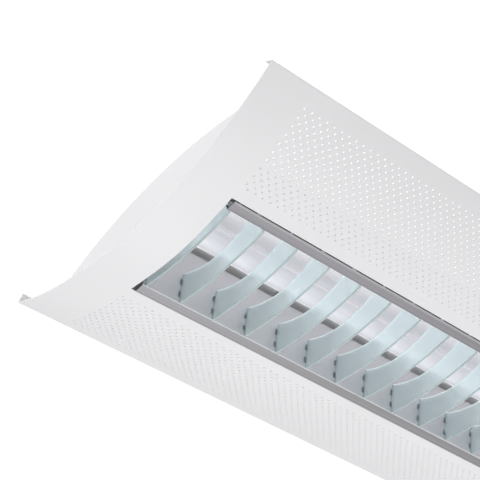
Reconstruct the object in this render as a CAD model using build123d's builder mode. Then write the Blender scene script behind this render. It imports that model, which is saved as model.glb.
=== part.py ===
from build123d import *
import os
from math import sqrt, sin, cos, radians

os.makedirs("parts", exist_ok=True)

# ---------------------------------------------------------------------------
# Suspended linear luminaire for one 1200 mm T8 lamp: curved perforated wings
# round a louvred opening, a gear channel over it, lens-shaped end plates and
# two wire suspension points on top.
#
# Frame: X along the luminaire, Y across it, Z up. The origin lies midway
# between the two suspension points, on the top face of their brackets.
# Heights in the tables below are measured from the outer folds of the wings
# and become Z with h(). All sizes are in millimetres.
# ---------------------------------------------------------------------------

# ---- overall ---------------------------------------------------------------
LENGTH = 1308.0
HALF_L = LENGTH / 2
HALF_W = 200.0
SHEET_T = 1.0
FOLD_Z = -62.0  # Z of the wing folds

# ---- curve of the wing sheet: three tangent arcs on each side --------------
# (centre y, centre height, radius, angle where the arc ends)
SHEET_ARCS = [
    (0.0, 224.697, 276.266, 0.140541),
    (-80.232, 791.813, 849.029, 0.223518),
    (35.465, 282.843, 327.075, 0.527130),
]
LIP_W = 11.1  # returned lip along both long edges
LIP_DIR = (-0.8107, 0.5855)

# ---- opening and louvre ----------------------------------------------------
OPEN_HALF_X = 601.5
OPEN_HALF_Y = 77.1
OPEN_MID_Y = -0.5  # more room on the hinge side
LOUVRE_HALF_X = 596.5
REFLECTOR_T = 0.8
BLADES = 29
BLADE_PITCH = 42.3
BLADE_T = 2.5
BLADE_X = [BLADE_PITCH * (k - (BLADES - 1) / 2) for k in range(BLADES)]
# visible face of a side reflector, from the outer edge of its trim upwards
REFLECTOR_LINE = [
    (76.2, -42.4),
    (75.0, -43.8),
    (64.2, -43.3),
    (62.7, -33.0),
    (58.8, -18.5),
    (55.0, -9.5),
    (44.5, 12.5),
    (45.3, 13.9),
]
SLOT_UP = (-21.9, -15.9)
SLOT_LOW = (-36.1, -29.9)
# the slots run from the blade's left further out than to its right
SLOT_LEFT = 3.3
SLOT_RIGHT = 1.45

# ---- louvre hinge and catches ----------------------------------------------
HINGE_Y = -69.0
HINGE_H = -36.0
HINGE_PIN_R = 2.0
HINGE_HOLE_R = 2.06
CATCH_X = [-500.0, 0.0, 500.0]

# ---- lamp ------------------------------------------------------------------
LAMP_H = -9.3
LAMP_R = 13.0
LAMP_HALF = 599.7  # to the face of the caps, without the pins
CAP_LEN = 15.0
PIN_R = 1.175
PIN_LEN = 7.1
PIN_GAP = 12.7

# ---- gear channel ----------------------------------------------------------
CHANNEL_T = 1.0
CHANNEL_TOP = 45.0
CHANNEL_TOP_Y = 71.0
CHANNEL_FOOT_Y = 82.0
CHANNEL_FLANGE_Y = 90.0
CHANNEL_HALF_X = 616.5
TRAY_H = 17.0
TRAY_T = 0.8
TRAY_HALF_Y = 36.2
TRAY_RIM_H = 25.0
TRAY_RIM_Y = 62.0

# ---- end plates ------------------------------------------------------------
PLATE_OUT_X = 618.0
PLATE_T = 1.2
ARCH_R = 467.1
ARCH_TOP = 52.7
PLATE_HALF_Y = 189.3
PLATE_TIP = 7.4  # height of the plate's corners, by the lips
ARCH_HALF_Y = 156.0

# ---- suspension ------------------------------------------------------------
SUSPENSION_SPACING = 900.0
WIRE_BORE_R = 1.1
BRACKET_TOP = 62.0

# ---- cable inlet -----------------------------------------------------------
INLET_X = 560.0
INLET_BORE_R = 4.2


def h(height):
    return height + FOLD_Z


def sheet_height(y, inset=0.0):
    """Height of the wing sheet's lower face at y, moved inwards by inset."""
    s = abs(y)
    for cy, ch, r, end in SHEET_ARCS[:-1]:
        if s <= cy + (r - inset) * sin(end):
            return ch - sqrt((r - inset) ** 2 - (s - cy) ** 2)
    cy, ch, r, end = SHEET_ARCS[-1]
    return ch - sqrt((r - inset) ** 2 - (s - cy) ** 2)


def sheet_point(y, inset=0.0):
    return (y, h(sheet_height(y, inset)))


def sheet_arcs(inset, y0, y1):
    """Start, middle and end of each arc of the sheet's curve from y0 to y1."""
    joints = []
    for cy, ch, r, end in SHEET_ARCS[:-1]:
        joints += [cy + (r - inset) * sin(end), -cy - (r - inset) * sin(end)]
    lo, hi = min(y0, y1), max(y0, y1)
    ys = [lo] + sorted(j for j in joints if lo + 0.01 < j < hi - 0.01) + [hi]
    if y1 < y0:
        ys.reverse()
    return [
        (sheet_point(a, inset), sheet_point((a + b) / 2, inset), sheet_point(b, inset))
        for a, b in zip(ys, ys[1:])
    ]


def folded(points, thickness):
    """Outline of a bent strip: the line itself and its parallel to the left.

    A negative thickness puts the parallel on the right.
    """
    out = []
    n = len(points)
    for i, (x, y) in enumerate(points):
        normals = []
        for a, b in ((i - 1, i), (i, i + 1)):
            if a >= 0 and b < n:
                dx, dy = points[b][0] - points[a][0], points[b][1] - points[a][1]
                length = sqrt(dx * dx + dy * dy)
                normals.append((-dy / length, dx / length))
        if len(normals) == 1:
            nx, ny = normals[0]
            out.append((x + nx * thickness, y + ny * thickness))
        else:
            (ax, ay), (bx, by) = normals
            k = thickness / (1 + ax * bx + ay * by)
            out.append((x + (ax + bx) * k, y + (ay + by) * k))
    return list(points) + out[::-1]


def rise(points):
    """The same points with their heights turned into Z."""
    return [(y, h(z)) for y, z in points]


def mirrored(points):
    return [(-y, z) for y, z in points]


# ---------------------------------------------------------------------------
# wing sheet
# ---------------------------------------------------------------------------
# the lip's inner line meets the inner face of the sheet at this y
_fold = (HALF_W, sheet_height(HALF_W))
_tip = (_fold[0] + LIP_W * LIP_DIR[0], _fold[1] + LIP_W * LIP_DIR[1])
_in = (LIP_DIR[1] * -SHEET_T, LIP_DIR[0] * SHEET_T)
_root_y = HALF_W
_step = 0.0
while _step < 6.0:
    _y = _fold[0] + _in[0] + _step * LIP_DIR[0]
    _z = _fold[1] + _in[1] + _step * LIP_DIR[1]
    if _z >= sheet_height(_y, SHEET_T):
        _root_y = _y
        break
    _step += 0.002

with BuildPart() as wing_sheet:
    with BuildSketch(Plane.YZ.offset(-HALF_L)):
        with BuildLine():
            for a, m, b in sheet_arcs(0.0, -HALF_W, HALF_W):
                ThreePointArc(a, m, b)
            Polyline(
                (HALF_W, h(_fold[1])),
                (_tip[0], h(_tip[1])),
                (_tip[0] + _in[0], h(_tip[1] + _in[1])),
                sheet_point(_root_y, SHEET_T),
            )
            for a, m, b in sheet_arcs(SHEET_T, _root_y, -_root_y):
                ThreePointArc(a, m, b)
            Polyline(
                sheet_point(-_root_y, SHEET_T),
                (-_tip[0] - _in[0], h(_tip[1] + _in[1])),
                (-_tip[0], h(_tip[1])),
                (-HALF_W, h(_fold[1])),
            )
        make_face()
    extrude(amount=LENGTH)
    with BuildSketch(Plane.XY.offset(h(-60))):
        with Locations((0, OPEN_MID_Y)):
            RectangleRounded(2 * OPEN_HALF_X, 2 * OPEN_HALF_Y, 1.5)
    extrude(amount=40, mode=Mode.SUBTRACT)
wing_sheet.part.label = "wing_sheet"
export_step(wing_sheet.part, "parts/wing_sheet.step")


# ---------------------------------------------------------------------------
# end plates: lens-shaped, with a turned rim along the arch
# ---------------------------------------------------------------------------
def arch_height(y, inset=0.0):
    return ARCH_TOP - ARCH_R + sqrt((ARCH_R - inset) ** 2 - y * y)


RIM_HALF_Y = 152.0
RIM_W = 12.0

with BuildPart() as end_plate_left:
    with BuildSketch(Plane.YZ.offset(-PLATE_OUT_X)):
        with BuildLine():
            for a, m, b in sheet_arcs(SHEET_T + 0.05, -PLATE_HALF_Y, PLATE_HALF_Y):
                ThreePointArc(a, m, b)
            Polyline(
                sheet_point(PLATE_HALF_Y, SHEET_T + 0.05),
                (PLATE_HALF_Y, h(PLATE_TIP)),
                (ARCH_HALF_Y, h(arch_height(ARCH_HALF_Y))),
            )
            ThreePointArc(
                (ARCH_HALF_Y, h(arch_height(ARCH_HALF_Y))),
                (0, h(ARCH_TOP)),
                (-ARCH_HALF_Y, h(arch_height(ARCH_HALF_Y))),
            )
            Polyline(
                (-ARCH_HALF_Y, h(arch_height(ARCH_HALF_Y))),
                (-PLATE_HALF_Y, h(PLATE_TIP)),
                sheet_point(-PLATE_HALF_Y, SHEET_T + 0.05),
            )
        make_face()
    extrude(amount=PLATE_T)
    # rim, a hair below the arch
    with BuildSketch(Plane.YZ.offset(-PLATE_OUT_X + PLATE_T)):
        with BuildLine():
            ThreePointArc(
                (-RIM_HALF_Y, h(arch_height(RIM_HALF_Y, 0.1))),
                (0, h(ARCH_TOP - 0.1)),
                (RIM_HALF_Y, h(arch_height(RIM_HALF_Y, 0.1))),
            )
            Line(
                (RIM_HALF_Y, h(arch_height(RIM_HALF_Y, 0.1))),
                (RIM_HALF_Y, h(arch_height(RIM_HALF_Y, 1.3))),
            )
            ThreePointArc(
                (RIM_HALF_Y, h(arch_height(RIM_HALF_Y, 1.3))),
                (0, h(ARCH_TOP - 1.3)),
                (-RIM_HALF_Y, h(arch_height(RIM_HALF_Y, 1.3))),
            )
            Line(
                (-RIM_HALF_Y, h(arch_height(RIM_HALF_Y, 1.3))),
                (-RIM_HALF_Y, h(arch_height(RIM_HALF_Y, 0.1))),
            )
        make_face()
    extrude(amount=RIM_W - PLATE_T)
    # three feet turned in along the sheet, for its spot welds
    for y0, y1 in ((-150.0, -120.0), (-14.0, 14.0), (120.0, 150.0)):
        with BuildSketch(Plane.YZ.offset(-PLATE_OUT_X + PLATE_T)):
            with BuildLine():
                Polyline(
                    sheet_point(y0, SHEET_T + 0.2),
                    sheet_point((y0 + y1) / 2, SHEET_T + 0.2),
                    sheet_point(y1, SHEET_T + 0.2),
                    sheet_point(y1, SHEET_T + 0.2 + PLATE_T),
                    sheet_point((y0 + y1) / 2, SHEET_T + 0.2 + PLATE_T),
                    sheet_point(y0, SHEET_T + 0.2 + PLATE_T),
                    close=True,
                )
            make_face()
        extrude(amount=11.0)
end_plate_left.part.label = "end_plate_left"
export_step(end_plate_left.part, "parts/end_plate_left.step")

with BuildPart() as end_plate_right:
    add(end_plate_left.part.mirror(Plane.YZ))
end_plate_right.part.label = "end_plate_right"
export_step(end_plate_right.part, "parts/end_plate_right.step")


# ---------------------------------------------------------------------------
# gear channel over the opening
# ---------------------------------------------------------------------------
_foot_out = (CHANNEL_FLANGE_Y, sheet_height(CHANNEL_FLANGE_Y, SHEET_T) + 0.06)
_foot_in = (CHANNEL_FOOT_Y, sheet_height(CHANNEL_FOOT_Y, SHEET_T) + 0.06)
CHANNEL_LINE = [
    _foot_out,
    _foot_in,
    (CHANNEL_TOP_Y - 0.9, CHANNEL_TOP - CHANNEL_T),
    (-CHANNEL_TOP_Y + 0.9, CHANNEL_TOP - CHANNEL_T),
    (-_foot_in[0], _foot_in[1]),
    (-_foot_out[0], _foot_out[1]),
]
BRACKET_SCREW_XY = [
    (sx * SUSPENSION_SPACING / 2 + dx, sy * 34.0)
    for sx in (-1, 1)
    for dx in (-9.0, 9.0)
    for sy in (-1, 1)
]
with BuildPart() as gear_channel:
    with BuildSketch(Plane.YZ.offset(-CHANNEL_HALF_X)):
        with BuildLine():
            Polyline(rise(folded(CHANNEL_LINE, -CHANNEL_T)), close=True)
        make_face()
    extrude(amount=2 * CHANNEL_HALF_X)
    # cable inlet, bracket screw holes and cooling slots in the top
    with BuildSketch(Plane.XY.offset(h(CHANNEL_TOP - 6))):
        with Locations((INLET_X, 0)):
            Circle(8.2)
        with Locations(*BRACKET_SCREW_XY):
            Circle(2.1)
        for cx in (-240.0, -60.0, 330.0):
            for cy in (-52.0, 52.0):
                with Locations((cx, cy)):
                    with GridLocations(14.0, 0.0, 6, 1):
                        SlotOverall(22.0, 4.0, rotation=90)
    extrude(amount=12, mode=Mode.SUBTRACT)
gear_channel.part.label = "gear_channel"
export_step(gear_channel.part, "parts/gear_channel.step")


# ---------------------------------------------------------------------------
# angle brackets that join the channel's top to the end plates
# ---------------------------------------------------------------------------
END_BRACKET_Y = (-46.0, 46.0)
with BuildPart() as end_brackets:
    for side in (-1, 1):
        for cy in END_BRACKET_Y:
            for_line = [
                (side * (PLATE_OUT_X - PLATE_T - 15.5), h(CHANNEL_TOP - CHANNEL_T - 0.02)),
                (side * (PLATE_OUT_X - PLATE_T - 0.02), h(CHANNEL_TOP - CHANNEL_T - 0.02)),
                (side * (PLATE_OUT_X - PLATE_T - 0.02), h(CHANNEL_TOP - 16.0)),
            ]
            with BuildSketch(Plane.XZ.offset(-cy - 8.0)):
                with BuildLine():
                    Polyline(folded(for_line, -1.2 * side), close=True)
                make_face()
            extrude(amount=16.0)
            with BuildSketch(Plane.XY.offset(h(CHANNEL_TOP - 8))):
                with Locations((side * (PLATE_OUT_X - PLATE_T - 9.0), cy)):
                    Circle(1.7)
            extrude(amount=8, mode=Mode.SUBTRACT)
end_brackets.part.label = "end_brackets"
export_step(end_brackets.part, "parts/end_brackets.step")


# ---------------------------------------------------------------------------
# gear tray and its hangers
# ---------------------------------------------------------------------------
TRAY_LINE = [
    (TRAY_RIM_Y, TRAY_RIM_H),
    (TRAY_HALF_Y, TRAY_RIM_H),
    (TRAY_HALF_Y, TRAY_H),
    (-TRAY_HALF_Y, TRAY_H),
    (-TRAY_HALF_Y, TRAY_RIM_H),
    (-TRAY_RIM_Y, TRAY_RIM_H),
]
HANGER_X = [-420.0, 0.0, 420.0]
WIRE_HOLE_X = 604.5
WIRE_Y = 6.0
BALLAST_X = 150.0
BALLAST_HALF_X = 115.0
TERMINAL_X = 500.0
with BuildPart() as gear_tray:
    with BuildSketch(Plane.YZ.offset(-CHANNEL_HALF_X + 0.5)):
        with BuildLine():
            Polyline(rise(folded(TRAY_LINE, -TRAY_T)), close=True)
        make_face()
    extrude(amount=2 * CHANNEL_HALF_X - 1.0)
    with BuildSketch(Plane.XY.offset(h(TRAY_H - 2))):
        for sx in (-1, 1):
            for sy in (-1, 1):
                with Locations((sx * WIRE_HOLE_X, sy * WIRE_Y)):
                    Circle(1.7)
        with Locations(
            (BALLAST_X - BALLAST_HALF_X + 6, 0),
            (BALLAST_X + BALLAST_HALF_X - 6, 0),
            (TERMINAL_X + 44, 0),
        ):
            Circle(1.75)
    extrude(amount=4, mode=Mode.SUBTRACT)
    with BuildSketch(Plane.XZ.offset(-60)):
        with Locations(*[(x, h(TRAY_H + 6.0)) for x in HANGER_X]):
            Circle(1.75)
    extrude(amount=120, mode=Mode.SUBTRACT)
    # notches in the rims, where the hangers come down
    notch = TRAY_RIM_Y - TRAY_HALF_Y + 2.0
    with BuildSketch(Plane.XY.offset(h(TRAY_RIM_H - 0.1))):
        for side in (-1, 1):
            cy = side * (TRAY_HALF_Y + 0.01 + notch / 2)
            with Locations(*[(x, cy) for x in HANGER_X]):
                Rectangle(22.0, notch)
    extrude(amount=2.0, mode=Mode.SUBTRACT)
gear_tray.part.label = "gear_tray"
export_step(gear_tray.part, "parts/gear_tray.step")

with BuildPart() as tray_hangers:
    for x in HANGER_X:
        for side in (-1, 1):
            line = [
                (side * (TRAY_HALF_Y + 0.05), TRAY_H + 1.0),
                (side * (TRAY_HALF_Y + 0.05), CHANNEL_TOP - CHANNEL_T - 0.05),
                (side * (TRAY_HALF_Y + 13.0), CHANNEL_TOP - CHANNEL_T - 0.05),
            ]
            with BuildSketch(Plane.YZ.offset(x - 10.0)):
                with BuildLine():
                    Polyline(rise(folded(line, -side * 1.2)), close=True)
                make_face()
            extrude(amount=20.0)
    with BuildSketch(Plane.XZ.offset(-60)):
        with Locations(*[(x, h(TRAY_H + 6.0)) for x in HANGER_X]):
            Circle(1.75)
    extrude(amount=120, mode=Mode.SUBTRACT)
tray_hangers.part.label = "tray_hangers"
export_step(tray_hangers.part, "parts/tray_hangers.step")

# screws from outside through each hanger into the tray's flange, nut inside
with BuildPart() as tray_screws:
    for x in HANGER_X:
        for side in (-1, 1):
            plane = Plane(
                origin=(x, side * (TRAY_HALF_Y + 1.28), h(TRAY_H + 6.0)),
                x_dir=(1, 0, 0),
                z_dir=(0, side, 0),
            )
            with BuildSketch(plane):
                Circle(3.2)
            extrude(amount=2.0)
            with BuildSketch(plane):
                Circle(1.6)
            extrude(amount=-6.0)
            with BuildSketch(plane.offset(1.2)):
                Rectangle(4.4, 0.8)
            extrude(amount=1.0, mode=Mode.SUBTRACT)
            with BuildSketch(plane.offset(1.2)):
                Rectangle(0.8, 4.4)
            extrude(amount=1.0, mode=Mode.SUBTRACT)
tray_screws.part.label = "tray_screws"
export_step(tray_screws.part, "parts/tray_screws.step")

# ---------------------------------------------------------------------------
# reflector over the lamp
# ---------------------------------------------------------------------------
TOP_REFLECTOR_LINE = [
    (34.2, 14.6),
    (35.0, 13.2),
    (22.0, 16.4),
    (-22.0, 16.4),
    (-35.0, 13.2),
    (-34.2, 14.6),
]
with BuildPart() as top_reflector:
    with BuildSketch(Plane.YZ.offset(-598.0)):
        with BuildLine():
            Polyline(rise(folded(TOP_REFLECTOR_LINE, -0.5)), close=True)
        make_face()
    extrude(amount=1196.0)
top_reflector.part.label = "top_reflector"
export_step(top_reflector.part, "parts/top_reflector.step")

# ---------------------------------------------------------------------------
# ballast, terminal block, earth stud and their screws
# ---------------------------------------------------------------------------
FLOOR = TRAY_H + TRAY_T + 0.02
WIRE_R = 1.0
WIRE_H = FLOOR + 5.5
with BuildPart() as ballast:
    with BuildSketch(Plane.XY.offset(h(FLOOR))):
        with Locations((BALLAST_X, 0)):
            RectangleRounded(2 * BALLAST_HALF_X, 34.0, 1.5)
    extrude(amount=1.2)
    with BuildSketch(Plane.YZ.offset(BALLAST_X - BALLAST_HALF_X + 13.0)):
        with BuildLine():
            Polyline(
                (-17, h(FLOOR + 1.2)),
                (17, h(FLOOR + 1.2)),
                (17, h(FLOOR + 17)),
                (14, h(FLOOR + 20)),
                (-14, h(FLOOR + 20)),
                (-17, h(FLOOR + 17)),
                close=True,
            )
        make_face()
    extrude(amount=2 * BALLAST_HALF_X - 26.0)
    # terminal recesses at both ends and screw holes in the feet
    for side in (-1, 1):
        with BuildSketch(Plane.XY.offset(h(FLOOR + 9.0))):
            with Locations((BALLAST_X + side * (BALLAST_HALF_X - 16.0), 0)):
                Rectangle(8.0, 28.0)
        extrude(amount=20, mode=Mode.SUBTRACT)
        with BuildSketch(Plane.XY.offset(h(FLOOR - 1))):
            with Locations((BALLAST_X + side * (BALLAST_HALF_X - 6.0), 0)):
                Circle(1.75)
        extrude(amount=4, mode=Mode.SUBTRACT)
        with BuildSketch(Plane.YZ.offset(BALLAST_X + side * (BALLAST_HALF_X - 21.5))):
            with Locations(*[(y, h(WIRE_H)) for y in (-12.0, -5.0, 0.0, 5.0, 12.0)]):
                Circle(1.2)
        extrude(amount=side * 20.0, mode=Mode.SUBTRACT)
ballast.part.label = "ballast"
export_step(ballast.part, "parts/ballast.step")

with BuildPart() as terminal_block:
    with BuildSketch(Plane.XY.offset(h(FLOOR))):
        with Locations((TERMINAL_X, 0)):
            RectangleRounded(26.0, 19.0, 1.0)
    extrude(amount=15.0)
    with BuildSketch(Plane.XY.offset(h(FLOOR + 8.0))):
        with Locations((TERMINAL_X, 0)):
            with GridLocations(14.0, 6.0, 2, 3):
                Circle(2.2)
    extrude(amount=10, mode=Mode.SUBTRACT)
    with BuildSketch(Plane.YZ.offset(TERMINAL_X - 20)):
        with Locations(*[(y, h(WIRE_H)) for y in (-5.0, 0.0, 5.0)]):
            Circle(1.3)
    extrude(amount=40, mode=Mode.SUBTRACT)
terminal_block.part.label = "terminal_block"
export_step(terminal_block.part, "parts/terminal_block.step")

with BuildPart() as terminal_screws:
    with BuildSketch(Plane.XY.offset(h(FLOOR + 8.05))):
        with Locations((TERMINAL_X, 0)):
            with GridLocations(14.0, 6.0, 2, 3):
                Circle(2.05)
    extrude(amount=4.0)
    with BuildSketch(Plane.XY.offset(h(FLOOR + 11.05))):
        with Locations((TERMINAL_X, 0)):
            with GridLocations(14.0, 6.0, 2, 3):
                Rectangle(3.4, 0.7, rotation=30)
    extrude(amount=2, mode=Mode.SUBTRACT)
terminal_screws.part.label = "terminal_screws"
export_step(terminal_screws.part, "parts/terminal_screws.step")

with BuildPart() as gear_screws:
    for x, base in (
        (BALLAST_X - BALLAST_HALF_X + 6, FLOOR + 1.22),
        (BALLAST_X + BALLAST_HALF_X - 6, FLOOR + 1.22),
    ):
        with BuildSketch(Plane.XY.offset(h(base))):
            with Locations((x, 0)):
                Circle(3.2)
        extrude(amount=2.2)
        with BuildSketch(Plane.XY.offset(h(base))):
            with Locations((x, 0)):
                Circle(1.6)
        extrude(amount=-2.07)
        with BuildSketch(Plane.XY.offset(h(base + 1.4))):
            with Locations((x, 0)):
                Rectangle(4.4, 0.8)
                Rectangle(0.8, 4.4)
        extrude(amount=2.0, mode=Mode.SUBTRACT)
gear_screws.part.label = "gear_screws"
export_step(gear_screws.part, "parts/gear_screws.step")

with BuildPart() as earth_stud:
    with BuildSketch(Plane.XY.offset(h(FLOOR))):
        with Locations((TERMINAL_X + 44, 0)):
            RegularPolygon(3.6, 6)
    extrude(amount=4.5)
    with BuildSketch(Plane.XY.offset(h(FLOOR + 4.5))):
        with Locations((TERMINAL_X + 44, 0)):
            Circle(1.6)
    extrude(amount=8.0)
    with BuildSketch(Plane.XY.offset(h(FLOOR))):
        with Locations((TERMINAL_X + 44, 0)):
            Circle(1.6)
    extrude(amount=-0.7)
earth_stud.part.label = "earth_stud"
export_step(earth_stud.part, "parts/earth_stud.step")

# ---------------------------------------------------------------------------
# internal wiring: pairs from the ballast to each lampholder, three leads to
# the terminal block and one earth lead
# ---------------------------------------------------------------------------
HOLDER_TOP = TRAY_H - 0.04


with BuildPart() as lamp_wiring:
    for side in (-1, 1):
        for sy in (-1, 1):
            start = BALLAST_X + side * (BALLAST_HALF_X - 14.0)
            points = [
                (start, sy * 12.0, h(WIRE_H)),
                (side * 570.0, sy * 12.0, h(WIRE_H)),
                (side * WIRE_HOLE_X, sy * WIRE_Y, h(WIRE_H)),
                (side * WIRE_HOLE_X, sy * WIRE_Y, h(HOLDER_TOP - 3.0)),
            ]
            with BuildLine() as route:
                FilletPolyline(*points, radius=[30.0, 2.6])
            with BuildSketch(
                Plane(origin=points[0], x_dir=(0, 1, 0), z_dir=(side, 0, 0))
            ):
                Circle(WIRE_R)
            sweep(path=route.wires()[0])
lamp_wiring.part.label = "lamp_wiring"
export_step(lamp_wiring.part, "parts/lamp_wiring.step")

with BuildPart() as supply_wiring:
    for y in (-5.0, 0.0, 5.0):
        with BuildSketch(Plane.YZ.offset(BALLAST_X + BALLAST_HALF_X - 14.0)):
            with Locations((y, h(WIRE_H))):
                Circle(WIRE_R)
        extrude(amount=TERMINAL_X - 9.0 - (BALLAST_X + BALLAST_HALF_X - 14.0))
supply_wiring.part.label = "supply_wiring"
export_step(supply_wiring.part, "parts/supply_wiring.step")

with BuildPart() as earth_wiring:
    points = [
        (TERMINAL_X + 9.0, 0.0, h(WIRE_H)),
        (TERMINAL_X + 38.0, 0.0, h(WIRE_H)),
    ]
    with BuildSketch(Plane.YZ.offset(points[0][0])):
        with Locations((0, h(WIRE_H))):
            Circle(WIRE_R)
    extrude(amount=29.0)
    with BuildSketch(Plane.XY.offset(h(WIRE_H - 0.9))):
        with Locations((TERMINAL_X + 44, 0)):
            Circle(6.2)
            Circle(2.0, mode=Mode.SUBTRACT)
    extrude(amount=1.0)
earth_wiring.part.label = "earth_wiring"
export_step(earth_wiring.part, "parts/earth_wiring.step")

CLIP_X = [-500.0, -340.0, -160.0, 430.0]
with BuildPart() as wire_clips:
    for x in CLIP_X:
        for sy in (-1, 1):
            c = sy * 12.0
            line = [
                (c - 5.0, FLOOR + 0.02),
                (c - 2.2, FLOOR + 0.02),
                (c - 2.2, FLOOR + 7.2),
                (c + 2.2, FLOOR + 7.2),
                (c + 2.2, FLOOR + 0.02),
                (c + 5.0, FLOOR + 0.02),
            ]
            with BuildSketch(Plane.YZ.offset(x - 4.0)):
                with BuildLine():
                    Polyline(rise(folded(line, 0.8)), close=True)
                make_face()
            extrude(amount=8.0)
wire_clips.part.label = "wire_clips"
export_step(wire_clips.part, "parts/wire_clips.step")

# ---------------------------------------------------------------------------
# lampholders with their turning rotors and contact springs
# ---------------------------------------------------------------------------
HOLDER_FACE = 600.0
HOLDER_DEPTH = 16.0
ROTOR_R = 8.0
ROTOR_FACE = 600.3
ROTOR_DEPTH = 8.7


def holder_solid(side):
    plane = Plane(
        origin=(side * HOLDER_FACE, 0, h(LAMP_H)), x_dir=(0, 1, 0), z_dir=(side, 0, 0)
    )
    up = 1.0 if side > 0 else -1.0
    return plane, up


with BuildPart() as lampholder_left:
    plane, up = holder_solid(-1)
    rise_to_tray = HOLDER_TOP - LAMP_H
    with BuildSketch(plane):
        Circle(12.6)
        with Locations((0, up * rise_to_tray / 2)):
            Rectangle(25.2, rise_to_tray)
    extrude(amount=HOLDER_DEPTH)
    with BuildSketch(plane):
        Circle(ROTOR_R + 0.08)
    extrude(amount=12.0, mode=Mode.SUBTRACT)
    with BuildSketch(plane):
        with Locations((0, -up * 8.0)):
            Rectangle(3.2, 16.0)
    extrude(amount=8.2, mode=Mode.SUBTRACT)
    with BuildSketch(Plane.XY.offset(h(HOLDER_TOP - 4.0))):
        with Locations((-WIRE_HOLE_X, WIRE_Y), (-WIRE_HOLE_X, -WIRE_Y)):
            Circle(1.15)
    extrude(amount=6, mode=Mode.SUBTRACT)
    chamfer(
        lampholder_left.faces().sort_by(Axis.X)[-1].outer_wire().edges().filter_by(GeomType.CIRCLE),
        0.8,
    )
lampholder_left.part.label = "lampholder_left"
export_step(lampholder_left.part, "parts/lampholder_left.step")

with BuildPart() as lampholder_right:
    add(lampholder_left.part.mirror(Plane.YZ))
lampholder_right.part.label = "lampholder_right"
export_step(lampholder_right.part, "parts/lampholder_right.step")

with BuildPart() as holder_contacts:
    for side in (-1, 1):
        for sy in (-1, 1):
            with BuildSketch(
                Plane(
                    origin=(side * 609.6, 0, h(LAMP_H)),
                    x_dir=(0, 1, 0),
                    z_dir=(side, 0, 0),
                )
            ):
                with Locations((sy * 4.2, 0)):
                    Rectangle(2.6, 8.0)
            extrude(amount=0.6)
            with BuildSketch(
                Plane(
                    origin=(side * 610.2, 0, h(LAMP_H)),
                    x_dir=(0, 1, 0),
                    z_dir=(side, 0, 0),
                )
            ):
                with Locations((sy * 4.2, 0)):
                    Rectangle(2.6, 2.4)
            extrude(amount=1.78)
holder_contacts.part.label = "holder_contacts"
export_step(holder_contacts.part, "parts/holder_contacts.step")

with BuildPart() as rotor_left:
    plane = Plane(
        origin=(-ROTOR_FACE, 0, h(LAMP_H)), x_dir=(0, 1, 0), z_dir=(-1, 0, 0)
    )
    with BuildSketch(plane):
        Circle(ROTOR_R)
    extrude(amount=ROTOR_DEPTH)
    with BuildSketch(plane):
        Rectangle(20.0, 2 * PIN_R + 0.3)
    extrude(amount=7.6, mode=Mode.SUBTRACT)
rotor_left.part.label = "rotor_left"
export_step(rotor_left.part, "parts/rotor_left.step")

with BuildPart() as rotor_right:
    add(rotor_left.part.mirror(Plane.YZ))
rotor_right.part.label = "rotor_right"
export_step(rotor_right.part, "parts/rotor_right.step")

# ---------------------------------------------------------------------------
# lamp
# ---------------------------------------------------------------------------
with BuildPart() as lamp_tube:
    with BuildSketch(Plane.YZ.offset(-LAMP_HALF + 4.0)):
        with Locations((0, h(LAMP_H))):
            Circle(LAMP_R - 0.35)
            Circle(LAMP_R - 1.15, mode=Mode.SUBTRACT)
    extrude(amount=2 * LAMP_HALF - 8.0)
lamp_tube.part.label = "lamp_tube"
export_step(lamp_tube.part, "parts/lamp_tube.step")

with BuildPart() as lamp_cap_left:
    face = Plane(origin=(-LAMP_HALF, 0, h(LAMP_H)), x_dir=(0, 1, 0), z_dir=(1, 0, 0))
    with BuildSketch(face):
        Circle(LAMP_R)
    extrude(amount=CAP_LEN)
    with BuildSketch(face.offset(3.8)):
        Circle(LAMP_R - 0.34)
    extrude(amount=CAP_LEN, mode=Mode.SUBTRACT)
    with BuildSketch(face):
        for s in (-1, 1):
            with Locations((s * PIN_GAP / 2, 0)):
                Circle(PIN_R)
    extrude(amount=8, mode=Mode.SUBTRACT)
    fillet(
        lamp_cap_left.edges()
        .filter_by(GeomType.CIRCLE)
        .filter_by(lambda e: abs(e.radius - LAMP_R) < 0.01)
        .sort_by(Axis.X)[:1],
        1.2,
    )
lamp_cap_left.part.label = "lamp_cap_left"
export_step(lamp_cap_left.part, "parts/lamp_cap_left.step")

with BuildPart() as lamp_cap_right:
    add(lamp_cap_left.part.mirror(Plane.YZ))
lamp_cap_right.part.label = "lamp_cap_right"
export_step(lamp_cap_right.part, "parts/lamp_cap_right.step")

with BuildPart() as lamp_pins:
    for side in (-1, 1):
        face = Plane(
            origin=(side * (LAMP_HALF - 3.8), 0, h(LAMP_H)),
            x_dir=(0, 1, 0),
            z_dir=(side, 0, 0),
        )
        with BuildSketch(face):
            for s in (-1, 1):
                with Locations((s * PIN_GAP / 2, 0)):
                    Circle(PIN_R)
        extrude(amount=PIN_LEN + 3.8)
lamp_pins.part.label = "lamp_pins"
export_step(lamp_pins.part, "parts/lamp_pins.step")

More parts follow.
